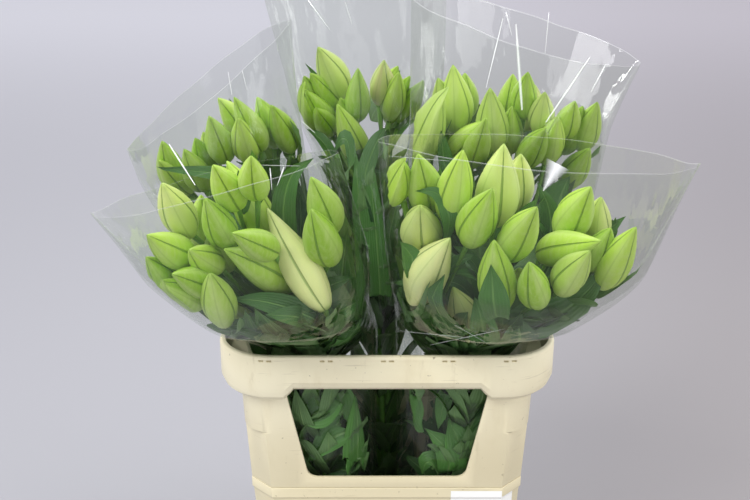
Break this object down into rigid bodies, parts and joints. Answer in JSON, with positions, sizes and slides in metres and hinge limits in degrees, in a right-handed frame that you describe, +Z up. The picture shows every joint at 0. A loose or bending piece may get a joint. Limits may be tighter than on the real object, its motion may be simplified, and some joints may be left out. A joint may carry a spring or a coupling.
{
  "type": "crate of lily bunches in bud",
  "caption": "Tapered plastic flower crate with a windowed collar, holding sleeved bunches of cut lily stems whose green and cream buds are still closed, with water at the bottom",
  "frame": {"origin": "middle of the bucket's flat underside", "axes": "+Z up along the stems, +X along the crate's long side to the right as seen from its front, +Y from the front window to the back window"},
  "size_m": [0.6342, 0.5551, 0.8344],
  "materials": {
    "crate_plastic": "cream moulded polypropylene, satin, lightly scuffed",
    "lily_green": "living leaf, stem and bud, waxy green, some buds cream",
    "clear_film": "crumpled clear film, glossy",
    "water": "clear water",
    "red_rubber": "plain rubber band"
  },
  "bodies": {
    "root": {"bucket": "crate_plastic", "window_collar": "crate_plastic", "water": "water", "bunch_front_left": "lily_green", "sleeve_front_left": "clear_film", "tie_front_left": "red_rubber", "bunch_front_right": "lily_green", "sleeve_front_right": "clear_film", "tie_front_right": "red_rubber", "bunch_back_left": "lily_green", "sleeve_back_left": "clear_film", "tie_back_left": "red_rubber", "bunch_back_centre": "lily_green", "sleeve_back_centre": "clear_film", "tie_back_centre": "red_rubber", "bunch_back_right": "lily_green", "sleeve_back_right": "clear_film", "tie_back_right": "red_rubber"}
  },
  "joints": []
}
